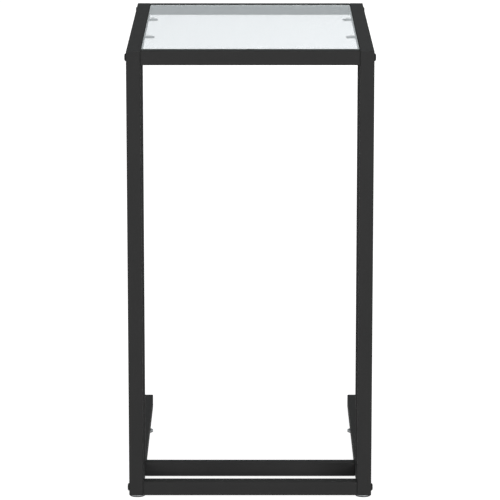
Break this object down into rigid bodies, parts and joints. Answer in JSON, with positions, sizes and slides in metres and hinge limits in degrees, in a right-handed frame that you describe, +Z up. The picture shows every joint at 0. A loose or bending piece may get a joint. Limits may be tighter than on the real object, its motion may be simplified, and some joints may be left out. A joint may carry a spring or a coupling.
{
  "type": "c-shaped side table",
  "caption": "C-shaped side table of black square steel tube with a drop-in clear glass top; its low base slides under a sofa or bed so that the top reaches over the seat.",
  "frame": {"origin": "on the floor, under the middle of the table", "axes": "+Z up, -Y towards the closed side with the posts, +Y towards the open side of the C, +X to the right seen from the closed side"},
  "size_m": [0.354, 0.5, 0.65],
  "materials": {
    "powder_coat": "matt black powder coat on steel tube",
    "black_oxide_bolt": "black button-head bolt",
    "zinc_steel": "zinc-plated steel",
    "cap_plastic": "moulded black plastic",
    "clear_glass": "clear tempered glass with ground edges",
    "clear_silicone": "clear silicone pad",
    "black_rubber": "black rubber",
    "sole_nylon": "moulded dark grey nylon"
  },
  "bodies": {
    "frame": {"left_top_rail": "powder_coat", "left_base_rail": "powder_coat", "left_front_post": "powder_coat", "left_inner_post": "powder_coat", "left_top_rail_cap": "cap_plastic", "left_base_rail_cap": "cap_plastic", "right_top_rail": "powder_coat", "right_base_rail": "powder_coat", "right_front_post": "powder_coat", "right_inner_post": "powder_coat", "right_top_rail_cap": "cap_plastic", "right_base_rail_cap": "cap_plastic", "top_front_crossbar": "powder_coat", "top_front_inserts": "zinc_steel", "top_front_bolts": "black_oxide_bolt", "top_rear_crossbar": "powder_coat", "top_rear_inserts": "zinc_steel", "top_rear_bolts": "black_oxide_bolt", "base_front_crossbar": "powder_coat", "base_front_inserts": "zinc_steel", "base_front_bolts": "black_oxide_bolt", "base_inner_crossbar": "powder_coat", "base_inner_inserts": "zinc_steel", "base_inner_bolts": "black_oxide_bolt", "left_front_glass_tab": "powder_coat", "left_front_glass_pad": "clear_silicone", "left_rear_glass_tab": "powder_coat", "left_rear_glass_pad": "clear_silicone", "right_front_glass_tab": "powder_coat", "right_front_glass_pad": "clear_silicone", "right_rear_glass_tab": "powder_coat", "right_rear_glass_pad": "clear_silicone", "front_glass_bumper": "black_rubber", "rear_glass_bumper": "black_rubber", "foot_weld_nuts": "zinc_steel"},
    "glass": {"glass_top": "clear_glass"},
    "left_front_foot": {"left_front_foot_sole": "sole_nylon", "left_front_foot_screw": "zinc_steel"},
    "left_rear_foot": {"left_rear_foot_sole": "sole_nylon", "left_rear_foot_screw": "zinc_steel"},
    "right_front_foot": {"right_front_foot_sole": "sole_nylon", "right_front_foot_screw": "zinc_steel"},
    "right_rear_foot": {"right_rear_foot_sole": "sole_nylon", "right_rear_foot_screw": "zinc_steel"}
  },
  "joints": [
    {"name": "glass_lift", "type": "slide", "parent": "frame", "child": "glass", "axis": [0, 0, 1], "range_m": [0, 0.06]},
    {"name": "left_front_foot_screw", "type": "slide", "parent": "frame", "child": "left_front_foot", "axis": [0, 0, -1], "range_m": [0, 0.003]},
    {"name": "left_rear_foot_screw", "type": "slide", "parent": "frame", "child": "left_rear_foot", "axis": [0, 0, -1], "range_m": [0, 0.003]},
    {"name": "right_front_foot_screw", "type": "slide", "parent": "frame", "child": "right_front_foot", "axis": [0, 0, -1], "range_m": [0, 0.003]},
    {"name": "right_rear_foot_screw", "type": "slide", "parent": "frame", "child": "right_rear_foot", "axis": [0, 0, -1], "range_m": [0, 0.003]}
  ]
}
